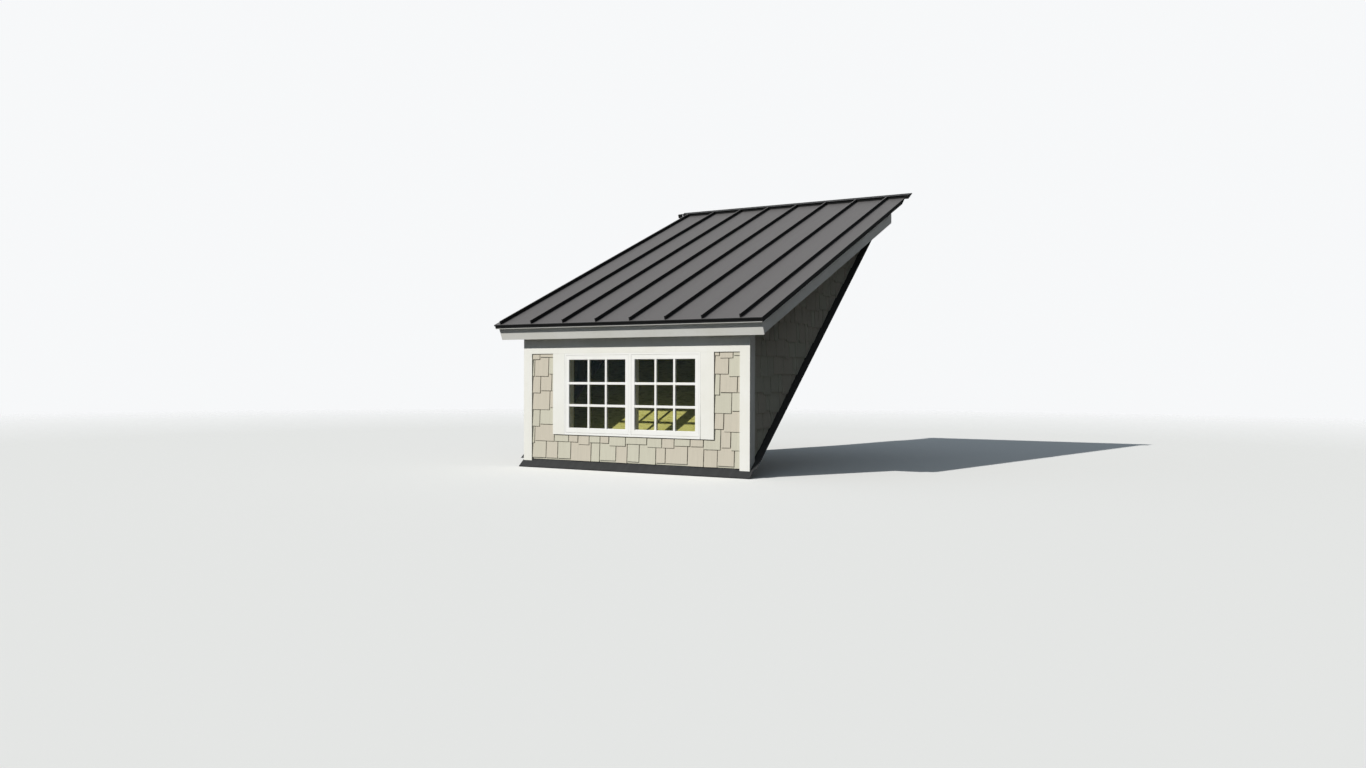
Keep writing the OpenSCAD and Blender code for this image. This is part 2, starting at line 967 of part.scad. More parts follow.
// Bent bars that close the gap between the panels and the head flashing, from seam to seam
module head_closures() {
    ends = concat([-edge_x], [for (x = seams) each [x - seam_w / 2, x + seam_w / 2]], [edge_x]);
    low = panel_top + lay_gap;
    front = closure_s + sheet_t;
    color("dimgray")
        for (i = [0:2:len(ends) - 1])
            across(ends[i] + seam_gap, ends[i + 1] - seam_gap)
                polygon([
                    on_slope(closure_s, low),
                    on_slope(closure_s + closure_w, low),
                    on_slope(closure_s + closure_w, low + sheet_t),
                    on_slope(front, low + sheet_t),
                    on_slope(front, seam_top - sheet_t),
                    on_slope(closure_s + closure_w, seam_top - sheet_t),
                    on_slope(closure_s + closure_w, seam_top),
                    on_slope(closure_s, seam_top)
                ]);
}

// A strip that lies on the seams' upper ends, falls back at a flatter slope and bends onto the
// main roof's deck; past the edges of the roof its ends have a face and a folded cheek
module head_flashing() {
    low_s = closure_s - head_lap;
    left = -edge_x - head_left;
    right = edge_x + head_right;
    face_foot = on_slope(low_s, head_over - head_end);
    up = [0, sheet_t];
    color("dimgray") {
        across(left, right)
            polygon([
                head_front, head_front + up, head_bend + up, head_foot + up,
                [head_y, main_z(head_y, head_bed)] + up,
                [head_y, main_z(head_y, head_bed)],
                head_foot, head_bend
            ]);
        for (x = [[left, -edge_x - lay_gap], [edge_x + lay_gap, right]])
            across(x[0], x[1])
                polygon([
                    face_foot, on_slope(low_s + sheet_t, head_over - head_end),
                    on_slope(low_s + sheet_t, head_over + sheet_t / 2), head_front
                ]);
        for (x = [left, right - sheet_t])
            across(x, x + sheet_t)
                polygon([head_front, head_bend, head_foot, face_foot]);
    }
}

// Side view of the apron: a leg up the wall, and a face on the main roof with a folded edge
module apron_flashing() {
    front = -apron_w * cos(main_a);
    top = main_z(0, cover_up) + flashing_leg;
    foot = main_z(front, cover_up) - apron_hem;
    inner = leg_gap + sheet_t;
    color("dimgray") {
        across(-body_x - apron_left, body_x + apron_right)
            polygon([
                [front, foot], [front - sheet_t, foot],
                [front - sheet_t, main_z(front - sheet_t, cover_up + sheet_t)],
                [-inner, main_z(-inner, cover_up + sheet_t)],
                [-leg_gap, main_z(-leg_gap, cover_up)], [front, main_z(front, cover_up)]
            ]);
        across(-frame_x, frame_x)
            polygon([
                [-leg_gap, main_z(-leg_gap, cover_up)], [-leg_gap, top], [-inner, top],
                [-inner, main_z(-inner, cover_up)]
            ]);
    }
}

// Each piece of step flashing is an L against the cheek, under the siding; where the cheek
// runs out, the legs are cut to the soffit
module step_flashing(side) {
    run = step_l * cos(main_a);
    tip = meet_y(foot_up, soffit_foot);
    inner = ply_x + leg_gap;
    top = soffit_foot - trim_joint;
    low = cover_up;
    color("dimgray")
        on_side(side)
            for (i = [0:ceil(tip / run) - 1])
                let (y0 = i * run + step_joint, y1 = (i + 1) * run)
                union() {
                    across(inner, inner + sheet_t)
                        intersection() {
                            polygon([
                                [y0, main_z(y0, low)], [y1, main_z(y1, low)],
                                [y1, main_z(y1, low) + flashing_leg],
                                [y0, main_z(y0, low) + flashing_leg]
                            ]);
                            polygon([[y0, 0], [y1, 0], [y1, roof_z(y1, top)], [y0, roof_z(y0, top)]]);
                        }
                    across(inner, ply_x + trim_face + step_w)
                        polygon([
                            [y0, main_z(y0, low)], [y1, main_z(y1, low)],
                            [y1, main_z(y1, low + sheet_t)], [y0, main_z(y0, low + sheet_t)]
                        ]);
                }
}

module left_step_flashing() step_flashing(-1);

module right_step_flashing() step_flashing(1);

roof_deck();
front_sole_plate();
cheek_sole_plates();
front_studs();
window_header();
rough_sill();
front_top_plate();
cheek_top_plates();
cheek_studs();
rafters();
rake_lookouts();
front_sheathing();
left_sheathing();
right_sheathing();
roof_sheathing();
front_siding();
left_siding();
right_siding();
left_corner_board();
right_corner_board();
frieze_board();
left_casing();
right_casing();
window_frame();
left_sash();
right_sash();
left_glass();
right_glass();
sub_fascia();
fascia_board();
eave_strip();
left_rake_board();
right_rake_board();
rake_strips();
front_soffit();
rake_soffits();
eave_drip_edge();
left_rake_trim();
right_rake_trim();
roof_panels();
head_closures();
head_flashing();
apron_flashing();
left_step_flashing();
right_step_flashing();
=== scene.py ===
import math
import random
import bpy
import bmesh
from mathutils import Matrix, Vector


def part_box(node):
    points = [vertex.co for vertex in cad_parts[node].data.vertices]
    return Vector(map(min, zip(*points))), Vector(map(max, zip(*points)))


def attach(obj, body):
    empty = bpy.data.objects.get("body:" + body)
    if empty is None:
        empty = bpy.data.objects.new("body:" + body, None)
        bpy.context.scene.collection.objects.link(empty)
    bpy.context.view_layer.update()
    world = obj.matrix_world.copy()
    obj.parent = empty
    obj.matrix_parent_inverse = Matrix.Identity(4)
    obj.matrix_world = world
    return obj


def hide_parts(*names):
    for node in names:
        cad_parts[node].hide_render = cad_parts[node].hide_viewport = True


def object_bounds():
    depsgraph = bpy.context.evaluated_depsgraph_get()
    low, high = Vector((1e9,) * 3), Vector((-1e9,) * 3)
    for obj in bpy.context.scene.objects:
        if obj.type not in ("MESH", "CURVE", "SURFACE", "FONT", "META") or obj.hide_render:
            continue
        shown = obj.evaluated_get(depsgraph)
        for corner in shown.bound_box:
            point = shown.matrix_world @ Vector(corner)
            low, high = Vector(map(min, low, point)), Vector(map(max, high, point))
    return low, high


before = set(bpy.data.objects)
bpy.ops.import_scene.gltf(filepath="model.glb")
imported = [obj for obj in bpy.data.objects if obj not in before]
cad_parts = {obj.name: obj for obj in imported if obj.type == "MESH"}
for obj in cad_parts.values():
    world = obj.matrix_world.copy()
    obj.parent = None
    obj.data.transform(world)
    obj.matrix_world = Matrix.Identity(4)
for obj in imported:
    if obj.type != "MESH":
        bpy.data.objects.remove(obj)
cadLow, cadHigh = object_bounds()

# the deck's slope and the dormer's own, as rise over run and as angles
mainRise = 9.85 / 12
dormerRise = 5.05 / 12
mainAngle = math.atan(mainRise)
dormerAngle = math.atan(dormerRise)


# shader maths: a wire is one socket, and sums and products of wires add their own nodes
class Wire:
    def __init__(self, graph, socket):
        self.graph = graph
        self.socket = socket

    def maths(self, operation, first, second):
        return self.graph.node("ShaderNodeMath", {"operation": operation}, {0: first, 1: second})

    def __add__(self, other):
        return self.maths("ADD", self, other)

    __radd__ = __add__

    def __sub__(self, other):
        return self.maths("SUBTRACT", self, other)

    def __rsub__(self, other):
        return self.maths("SUBTRACT", other, self)

    def __mul__(self, other):
        return self.maths("MULTIPLY", self, other)

    __rmul__ = __mul__

    def __gt__(self, other):
        return self.maths("GREATER_THAN", self, other)


# a tree of nodes, in a material or in the world
class Graph:
    def __init__(self, tree):
        self.tree = tree

    def feed(self, socket, value):
        if isinstance(value, Wire):
            self.tree.links.new(value.socket, socket)
        else:
            socket.default_value = value

    def node(self, kind, settings, inputs, output=0):
        made = self.tree.nodes.new(kind)
        for key, value in settings.items():
            if key == "stops":
                ramp = made.color_ramp
                while len(ramp.elements) < len(value):
                    ramp.elements.new(0.5)
                for element, (position, colour) in zip(ramp.elements, value):
                    element.position = position
                    element.color = (*colour, 1)
            else:
                setattr(made, key, value)
        for key, value in inputs.items():
            self.feed(made.inputs[key], value)
        return Wire(self, made.outputs[output])

    # 1 for the rays that show the backdrop: straight, in gloss and through glass
    def shownRays(self):
        straight, gloss, through = [
            self.node("ShaderNodeLightPath", {}, {}, name)
            for name in ("Is Camera Ray", "Is Glossy Ray", "Is Transmission Ray")]
        return straight + gloss + through


class Finish(Graph):
    def __init__(self, name, roughness=0.5, **fixed):
        self.material = bpy.data.materials.new(name)
        self.material.use_nodes = True
        super().__init__(self.material.node_tree)
        self.shader = self.tree.nodes["Principled BSDF"]
        self.shader.inputs["Roughness"].default_value = roughness
        for socket, value in fixed.items():
            self.shader.inputs[socket.replace("_", " ")].default_value = value
        self.place = self.node("ShaderNodeTexCoord", {}, {}, "Object")

    # noise whose features have the given size in metres, turned about X to follow a sloping board
    def noise(self, size, detail=3.0, turn=0.0, distortion=0.0, seed=0.0):
        spot = self.node("ShaderNodeMapping", {"vector_type": "TEXTURE"}, {
            "Vector": self.place, "Location": (seed, seed * 1.7, seed * 0.6),
            "Rotation": (turn, 0, 0), "Scale": size})
        return self.node("ShaderNodeTexNoise", {"noise_dimensions": "3D"}, {
            "Vector": spot, "Scale": 1.0, "Detail": detail, "Distortion": distortion})

    # how far a face looks up, from -1 to 1
    def upward(self):
        facing = self.node("ShaderNodeTexCoord", {}, {}, "Normal")
        return self.node("ShaderNodeSeparateXYZ", {}, {"Vector": facing}, "Z")

    def ramp(self, value, *stops):
        grey = [(position, (level, level, level)) for position, level in stops]
        return self.node("ShaderNodeValToRGB", {"stops": grey}, {"Fac": value})

    def blend(self, low, high, amount):
        first, second = [
            colour if isinstance(colour, Wire) else (*colour, 1) for colour in (low, high)]
        return self.node("ShaderNodeMix", {"data_type": "RGBA"}, {
            0: amount, 6: first, 7: second}, 2)

    def colour(self, value):
        self.feed(self.shader.inputs["Base Color"], value)

    # a least roughness, and what a pattern adds to it
    def rough(self, least, more, pattern):
        self.feed(self.shader.inputs["Roughness"], least + more * pattern)

    def bump(self, height, strength, distance):
        bumped = self.node("ShaderNodeBump", {}, {
            "Height": height, "Strength": strength, "Distance": distance})
        self.feed(self.shader.inputs["Normal"], bumped)


# a pattern's size with another length along one axis
def withLength(size, axis, length):
    changed = list(size)
    changed[axis] = length
    return changed


# brushed white paint over a board: faint grain along it, duller clouds and a little dust
paint = {
    "white": (0.80, 0.80, 0.765),
    "duller": (0.93, 0.92, 0.88),   # the clouds, as shares of the white
    "dust": (0.60, 0.59, 0.54),
    "dusty": 0.14,                  # how much of the dust shows
    "gloss": 0.22,
    "grainWide": 0.0035,
    "grainLong": 0.35,
    "cloudSize": 0.45,
    "dustSize": (0.03, 0.03, 0.11),
    "rough": (0.40, 0.22),          # the least, and what the clouds add
    "relief": (0.22, 0.0006),       # strength, and height in metres
}


def paintFinish(name, along, turn=0.0):
    p = paint
    made = Finish(name, Specular_IOR_Level=p["gloss"])
    grain = made.noise(withLength((p["grainWide"],) * 3, along, p["grainLong"]), 4.0, turn, 0.4)
    clouds = made.noise((p["cloudSize"],) * 3, 3.0, seed=3.1)
    dust = made.noise(p["dustSize"], 5.0, seed=7.7)
    duller = tuple(level * share for level, share in zip(p["white"], p["duller"]))
    base = made.blend(p["white"], duller, made.ramp(clouds, (0.35, 0.0), (0.75, 0.75)))
    dusty = p["dusty"] * made.ramp(dust, (0.52, 0.0), (0.8, 1.0))
    made.colour(made.blend(base, p["dust"], dusty))
    made.rough(*p["rough"], clouds)
    made.bump(grain, *p["relief"])
    return made.material


# smooth white cladding of the window and its bars
cladding = {
    "white": (0.84, 0.84, 0.82),
    "duller": (0.79, 0.79, 0.75),
    "cloudSize": 0.3,
    "skinSize": 0.0016,
    "rough": (0.30, 0.15),
    "relief": (0.08, 0.0002),
}


def windowFinish(name):
    c = cladding
    made = Finish(name)
    clouds = made.noise((c["cloudSize"],) * 3, 3.0, seed=1.3)
    skin = made.noise((c["skinSize"],) * 3, 2.0)
    cloudy = made.ramp(clouds, (0.4, 0.0), (0.75, 1.0))
    made.colour(made.blend(c["white"], c["duller"], cloudy))
    made.rough(*c["rough"], clouds)
    made.bump(skin, *c["relief"])
    return made.material


# bare lumber: growth rings stretched along the piece; its tones are kept dark as painted shade for
# the shut interior where it stands
lumberInShade = {
    "pale": (0.38, 0.29, 0.185),
    "dark": (0.24, 0.165, 0.09),
    "ringWide": 0.012,
    "ringLong": 0.7,
    "fibreWide": 0.0018,
    "fibreLong": 0.12,
    "fibreShare": 0.35,             # how much the fibres darken the wood
    "rough": (0.72, 0.15),
    "relief": (0.3, 0.0006),
}


def lumberFinish(name, along, turn=0.0):
    w = lumberInShade
    made = Finish(name)
    rings = made.noise(withLength((w["ringWide"],) * 3, along, w["ringLong"]), 2.0, turn, 1.2)
    fibres = made.noise(withLength((w["fibreWide"],) * 3, along, w["fibreLong"]), 3.0, turn)
    ringed = made.ramp(rings, (0.42, 0.0), (0.5, 0.7), (0.56, 0.1), (0.7, 0.5))
    streaked = w["fibreShare"] * made.ramp(fibres, (0.45, 0.0), (0.8, 1.0))
    made.colour(made.blend(made.blend(w["pale"], w["dark"], ringed), w["dark"], streaked))
    made.rough(*w["rough"], fibres)
    made.bump(fibres, *w["relief"])
    return made.material


# pressed strand board: flakes of several tones lying every way in the plane; faces that look down
# take a dull brown instead, kept dark as painted shade on the undersides and the ceiling of the
# shut interior
strand = {
    # dull brown for faces that look down, kept dark: painted shade
    "under": (0.38, 0.295, 0.18),
    "underDark": 0.55,              # the dark flakes there, as a share of the brown
    "underFrom": -0.3,              # how far a face looks up where the brown ends
    "flakeSize": (0.045, 0.018, 0.045),
    "fibreSize": (0.05, 0.003, 0.003),
    "fibreShare": 0.4,
    "rough": (0.75, 0.1),
    "relief": (0.25, 0.0009),
}


def strandFinish(name, pale, dark):
    w = strand
    made = Finish(name)
    spot = made.node("ShaderNodeMapping", {"vector_type": "TEXTURE"}, {
        "Vector": made.place, "Rotation": (mainAngle, 0, 0), "Scale": w["flakeSize"]})
    flakes = made.node("ShaderNodeTexVoronoi", {"feature": "F1"}, {
        "Vector": spot, "Scale": 1.0, "Randomness": 1.0}, "Color")
    tone = made.node("ShaderNodeSeparateColor", {}, {"Color": flakes}, "Red")
    fibre = made.noise(w["fibreSize"], 3.0, mainAngle)
    above = made.upward() > w["underFrom"]
    underDark = tuple(w["underDark"] * level for level in w["under"])
    light = made.blend(w["under"], pale, above)
    deep = made.blend(underDark, dark, above)
    wood = made.blend(light, deep, made.ramp(tone, (0.1, 0.0), (0.6, 0.25), (1.0, 0.9)))
    streaked = w["fibreShare"] * made.ramp(fibre, (0.5, 0.0), (0.8, 1.0))
    made.colour(made.blend(wood, deep, streaked))
    made.rough(*w["rough"], fibre)
    made.bump(tone + 0.5 * fibre, *w["relief"])
    return made.material


# baked bronze coating on sheet metal: what faces up gets a lighter tint, which is painted sky
# reflection, and carries a little dust; what stands on edge gets a near-black tint, which is
# painted shade, and is rougher; the flats have shallow waves
bronze = {
    # near-black tint of the faces that stand on edge: painted shade
    "edge": (0.014, 0.0145, 0.015),
    "edgeRough": 0.94,
    "dustTint": 0.03,               # what full dust adds to the tint
    "dustRough": 0.12,
    "gloss": 0.16,
    "waveSize": (0.22, 0.9, 0.3),
    "dustSize": (0.05, 0.4, 0.12),
    "speckSize": 0.003,
    "relief": (0.35, 0.004),
}


def bronzeFinish(name, tint, waves, rough, turn):
    b = bronze
    made = Finish(name, Specular_IOR_Level=b["gloss"])
    # 1 where a face looks up; there the lighter tint paints the sky's reflection
    flat = made.ramp(made.upward(), (0.35, 0.0), (0.75, 1.0))
    swell = made.noise(b["waveSize"], 1.5, turn, seed=2.0)
    dust = made.noise(b["dustSize"], 4.0, turn, seed=5.0)
    speck = made.noise((b["speckSize"],) * 3, 2.0)
    film = made.ramp(dust, (0.45, 0.0), (0.85, 1.0))
    dusty = tuple(level + b["dustTint"] for level in tint)
    made.colour(made.blend(b["edge"], made.blend(tint, dusty, 0.5 * film), flat))
    level = b["edgeRough"] - flat * (b["edgeRough"] - rough) + b["dustRough"] * film * flat
    made.rough(level, 0.05, speck)
    made.bump(swell * waves + 0.02 * speck, *b["relief"])
    return made.material


# stained shingles: each has its own tone, with fine upright saw marks; the felt behind the joints
# has a near-black tone of its own, which paints the shade in the joints
stain = {
    "pale": (0.575, 0.56, 0.46),
    "deep": (0.51, 0.49, 0.40),
    "warm": (0.59, 0.53, 0.445),    # what the upper half of the tones lean to
    "worn": (0.44, 0.42, 0.345),
    "wornShare": 0.22,
    "sawn": (0.39, 0.36, 0.285),
    "sawnShare": 0.28,
    # near-black felt behind the joints and under the window frame: painted shade
    "felt": (0.12, 0.10, 0.075),
    "feltFrom": 1.5,                # tones over this are felt
    "gloss": 0.15,
    "sawSize": (0.03, 0.03, 0.22),
    "sawPitch": 0.0028,             # from mark to mark across a shingle
    "bandSize": (0.05, 0.05, 0.30),
    "bandPitch": 0.014,
    "cloudSize": 0.25,
    "rough": (0.74, 0.16),
    "relief": (0.42, 0.0014),
}


def shingleFinish(name, across):
    w = stain
    made = Finish(name, Specular_IOR_Level=w["gloss"])
    tone = made.node("ShaderNodeAttribute", {"attribute_name": "tone"}, {}, "Fac")
    saw = made.noise(withLength(w["sawSize"], across, w["sawPitch"]), 4.0, distortion=0.25)
    bands = made.noise(withLength(w["bandSize"], across, w["bandPitch"]), 3.0, distortion=0.6,
                       seed=4.0)
    clouds = made.noise((w["cloudSize"],) * 3, 3.0, seed=9.0)
    warmth = made.ramp(tone * 7.0 - 3.0 + clouds, (0.4, 0.0), (0.8, 0.6))
    worn = w["wornShare"] * made.ramp(bands, (0.42, 0.0), (0.72, 1.0))
    sawn = w["sawnShare"] * made.ramp(saw, (0.50, 0.0), (0.74, 1.0))
    coat = made.blend(w["pale"], w["deep"], tone)
    for colour, amount in ((w["warm"], warmth), (w["worn"], worn), (w["sawn"], sawn),
                           (w["felt"], tone > w["feltFrom"])):
        coat = made.blend(coat, colour, amount)
    made.colour(coat)
    made.rough(*w["rough"], saw)
    made.bump(saw + 0.5 * bands, *w["relief"])
    return made.material


# window glass with a thin uneven film
glass = {
    "film": ((0.003, 0.011, 0.014), (0.005, 0.016, 0.019)),
    "filmSize": 0.3,
    "rough": (0.02, 0.05),
    "gloss": 0.30,
    "bend": 1.45,                   # index of refraction
    "cover": 0.2,                   # how much of what is behind is kept back
}


def glassFinish(name):
    g = glass
    made = Finish(name, IOR=g["bend"], Specular_IOR_Level=g["gloss"], Alpha=g["cover"])
    film = made.noise((g["filmSize"],) * 3, 3.0, seed=6.0)
    made.colour(made.blend(*g["film"], film))
    made.rough(*g["rough"], film)
    return made.material


print("finishes")
whiteUpright = paintFinish("paint_upright", 2)
whiteLevel = paintFinish("paint_level", 0)
whiteSlope = paintFinish("paint_slope", 1, dormerAngle)
windowWhite = windowFinish("window_white")
lumberUpright = lumberFinish("lumber_upright", 2)
lumberLevel = lumberFinish("lumber_level", 0)
lumberSlope = lumberFinish("lumber_slope", 1, dormerAngle)
lumberMain = lumberFinish("lumber_main", 1, mainAngle)
# the wall boards are a darker copy of the deck's strand board: painted shade for the shut interior
shadedWallPly = strandFinish("wall_board", pale=(0.27, 0.215, 0.13), dark=(0.16, 0.12, 0.065))
deckBoard = strandFinish("deck_board", pale=(0.88, 0.86, 0.27), dark=(0.58, 0.55, 0.12))
# the pans' tint is lifted above the bronze's own dark colour to paint the sky's reflection on
# faces that look up
roofBronze = bronzeFinish("roof_bronze", tint=(0.095, 0.091, 0.092), waves=0.6, rough=0.5,
                          turn=dormerAngle)
flashBronze = bronzeFinish("flashing_bronze", tint=(0.030, 0.031, 0.032), waves=0.3, rough=0.7,
                           turn=mainAngle)
paneGlass = glassFinish("pane")

finishOf = {
    whiteUpright: ["left_corner_board", "right_corner_board", "left_casing", "right_casing"],
    whiteLevel: ["frieze_board", "fascia_board", "eave_strip", "front_soffit"],
    whiteSlope: ["left_rake_board", "right_rake_board", "rake_strips", "rake_soffits"],
    windowWhite: ["window_frame", "left_sash", "right_sash"],
    paneGlass: ["left_glass", "right_glass"],
    lumberUpright: ["front_studs", "cheek_studs"],
    lumberLevel: ["front_sole_plate", "window_header", "rough_sill", "front_top_plate",
                  "rake_lookouts", "sub_fascia"],
    lumberSlope: ["rafters", "cheek_top_plates"],
    lumberMain: ["cheek_sole_plates"],
    shadedWallPly: ["front_sheathing", "left_sheathing", "right_sheathing", "roof_sheathing"],
    deckBoard: ["roof_deck"],
    roofBronze: ["roof_panels"],
    flashBronze: ["eave_drip_edge", "left_rake_trim", "right_rake_trim", "head_closures",
                  "head_flashing", "apron_flashing", "left_step_flashing", "right_step_flashing"],
}
for material, nodes in finishOf.items():
    for name in nodes:
        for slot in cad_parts[name].material_slots:
            slot.material = material


# a finished piece: its mesh as it stands, riding on the one body
def makePiece(name, bm, material, replaced=()):
    mesh = bpy.data.meshes.new(name)
    bm.to_mesh(mesh)
    bm.free()
    piece = bpy.data.objects.new(name, mesh)
    bpy.context.collection.objects.link(piece)
    mesh.materials.append(material)
    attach(piece, "root")
    if replaced:
        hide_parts(*replaced)
    print(name, len(mesh.polygons), "faces")


def addMesh(target, part):
    held = bpy.data.meshes.new("held")
    part.to_mesh(held)
    part.free()
    target.from_mesh(held)
    bpy.data.meshes.remove(held)


# a plain block between two corners
def block(low, high):
    part = bmesh.new()
    bmesh.ops.create_cube(part, size=1.0)
    bmesh.ops.scale(part, vec=Vector(high) - Vector(low), verts=part.verts)
    bmesh.ops.translate(part, vec=(Vector(high) + Vector(low)) / 2, verts=part.verts)
    return part


def easeEdges(part, edges, offset, segments=1):
    bmesh.ops.bevel(part, geom=edges, offset=offset, segments=segments, profile=0.5,
                    affect="EDGES", material=-1)


# the tone that the shingles' finish reads
def setTone(part, tone):
    layer = part.faces.layers.float.new("tone")
    for face in part.faces:
        face[layer] = tone


# Shingles. Drawn flat first: x along the wall, y out of the wall (negative), z up
shingles = {
    "course": 0.178,       # exposure
    "start": 0.027,        # lowest butts over the origin
    "lowest": 0.0335,      # the first course's butts end no lower than this
    "stagger": 0.024,      # how much higher the short ones end
    "gap": 0.0085,         # joint between neighbours
    "butt": 0.0168,        # face of a butt from the sheathing
    "wear": 0.0012,        # how much farther back a worn one's face lies, at most
    "skew": 0.0012,        # how far a butt's corners are off level, at most
    "thick": 0.0095,
    "thin": 0.6,           # the upper end's thickness as a share of it
    "slope": 0.050,        # how fast the face leans back as it goes up
    "lap": 0.030,          # length under the next course
    "ease": 0.0009,
    "narrowest": 0.060,
    "widest": 0.250,
    "joints": 0.02,        # a joint nearer than this to one in the course below moves on
    "moved": 0.035,        # by this much
    # open joint under the window frame, over near-black felt that paints the frame's shadow
    "clear": 0.008,        # open joint under the window
    "beside": 0.0005,      # joint beside the casings
    "under": 2,            # courses that end under the window
    "spare": 0.05,         # what a cheek's course runs past the slope before it is trimmed
    "least": 0.3,          # and its least length
}
# near-black felt behind the shingles: it paints the shade in the joints and the shadow under the
# window frame
felt = {
    "tone": 2,
    "foot": 0.034,         # its lower edge over the origin
    "back": 0.0012,        # from the sheathing
    "front": 0.0035,
    "cheekFront": 0.0036,
    "windowBack": 0.0014,  # the same under the window, and the gap to the frame
    "windowGap": 0.0005,
    "spare": (0.1, 0.2),   # what a cheek's felt runs past it before it is trimmed
}
starter = {"tone": 0.3, "front": 0.006, "rise": 0.06}   # shows under the short butts


# a shingle's tone, its wear and its skew
def drawShingle(rng):
    s = shingles
    return rng.random(), rng.uniform(0, s["wear"]), rng.uniform(-s["skew"], s["skew"])


def shingleSolid(x0, x1, butt, top, drawn):
    s = shingles
    tone, wear, skew = drawn
    part = bmesh.new()
    bmesh.ops.create_cube(part, size=1.0)
    face = s["butt"] - wear
    for v in part.verts:
        up = v.co.z > 0
        right = v.co.x > 0
        z = top if up else butt + (skew if right else -skew)
        out = face - (top - butt) * s["slope"] if up else face
        if v.co.y > 0:
            out -= s["thick"] * (s["thin"] if up else 1)
        v.co = Vector((x1 - s["gap"] / 2 if right else x0 + s["gap"] / 2, -out, z))
    easeEdges(part, part.edges[:], s["ease"])
    setTone(part, tone)
    return part


# keeps what lies on the inner side of each plane and closes the cuts
def trimTo(part, planes):
    for spot, normal in planes:
        if all((v.co - spot).dot(normal) <= 0 for v in part.verts):
            continue
        geometry = part.verts[:] + part.edges[:] + part.faces[:]
        bmesh.ops.bisect_plane(part, geom=geometry, plane_co=spot, plane_no=normal,
                               clear_outer=True)
        rim = [e for e in part.edges if e.is_boundary]
        if rim:
            bmesh.ops.holes_fill(part, edges=rim, sides=0)
    return part


def randomCourse(x0, x1, rng, last):
    s = shingles
    x, row = x0, []
    while x < x1:
        width = rng.uniform(s["narrowest"], s["widest"])
        if x1 - x - width < s["narrowest"]:
            width = x1 - x
        near = any(abs(x + width - joint) < s["joints"] for joint in last)
        if near and x + width < x1:
            width += s["moved"]
        row.append((x, min(x + width, x1), rng.random() < 0.5))
        x += width
    return row


# the front's courses from the lowest up, as joints from left to right in mm; an s marks the
# right joint of a shingle that ends short
frontRows = [
    [-1252, "-1069s", "-916s", "-746s", -487, -378, "-177s", -39, "106s", 303, "415s", "670s",
     852, 1003, "1189s", 1252],
    [-1252, -1221, "-960s", "-772s", "-652s", -509, "-372s", "-262s", -58, "198s", 374, 518,
     "701s", "850s", 1040, "1150s", 1252],
    [-1252, -1153, "-972s"], [-1252, -1022, "-972s"], [-1252, -1145, "-996s", "-972s"],
    [-1252, -1225, -1038, "-972s"], [-1252, -1152, "-972s"],
]
# and those on the right of the window, by course
frontRightRows = {
    2: [972, "1073s", 1252], 3: [972, 1158, "1252s"], 4: [972, 1030, "1220s", "1252s"],
    5: [972, "1125s", 1252], 6: [972, "1026s", 1174, "1252s"],
}


def readRow(row):
    words = [str(joint) for joint in row]
    spots = [float(word.rstrip("s")) / 1000 for word in words]
    short = [word.endswith("s") for word in words]
    return list(zip(spots, spots[1:], short[1:]))


def frontShingles():
    s = shingles
    rng = random.Random(11)
    target = bmesh.new()
    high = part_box("front_siding")[1]
    edge, roof = high.x, high.z
    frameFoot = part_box("window_frame")[0].z
    under = frameFoot - s["clear"]
    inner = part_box("right_casing")[1].x + s["beside"]
    ends = [(Vector((side * edge, 0, 0)), Vector((side, 0, 0))) for side in (1, -1)]
    rows = [(k, readRow(row)) for k, row in enumerate(frontRows)]
    rows += [(k, readRow(row)) for k, row in frontRightRows.items()]
    for k, row in rows:
        for x0, x1, isShort in row:
            butt = s["start"] + k * s["course"] + (s["stagger"] if isShort else 0)
            if k == 0:
                butt = max(butt, s["lowest"])
            top = min(s["start"] + (k + 1) * s["course"] + s["lap"], roof)
            drawn = drawShingle(rng)
            cuts = [[]]
            if k < s["under"]:
                if x0 < -inner < x1 or x0 < inner < x1:
                    # notched round the window's corner: two halves of one shingle
                    side = 1 if x1 > 0 else -1
                    corner = Vector((side * inner, 0, under))
                    if top > under:
                        cuts = [[(corner, Vector((-side, 0, 0)))],
                                [(corner, Vector((side, 0, 0))), (corner, Vector((0, 0, 1)))]]
                elif max(abs(x0), abs(x1)) <= inner:
                    top = min(top, under)
            for planes in cuts:
                part = shingleSolid(x0, x1, butt, top, drawn)
                addMesh(target, trimTo(part, ends + planes))
    # the starter strip, and near-black felt that paints the shade behind the joints and the shadow
    # in the open joint under the window frame
    f = felt
    backers = [
        ((-edge, -starter["front"], f["foot"]),
         (edge, -f["back"], s["start"] + starter["rise"]), starter["tone"]),
        ((-edge, -f["front"], f["foot"]),
         (edge, -f["windowBack"], frameFoot - f["windowGap"]), f["tone"]),
        ((-edge, -f["front"], under), (-inner, -f["back"], roof), f["tone"]),
        ((inner, -f["front"], under), (edge, -f["back"], roof), f["tone"]),
    ]
    for nearCorner, farCorner, tone in backers:
        part = block(nearCorner, farCorner)
        setTone(part, tone)
        addMesh(target, part)
    makePiece("front_shingles", target, shingleFinish("shingles_front", 0),
              ["front_siding"])


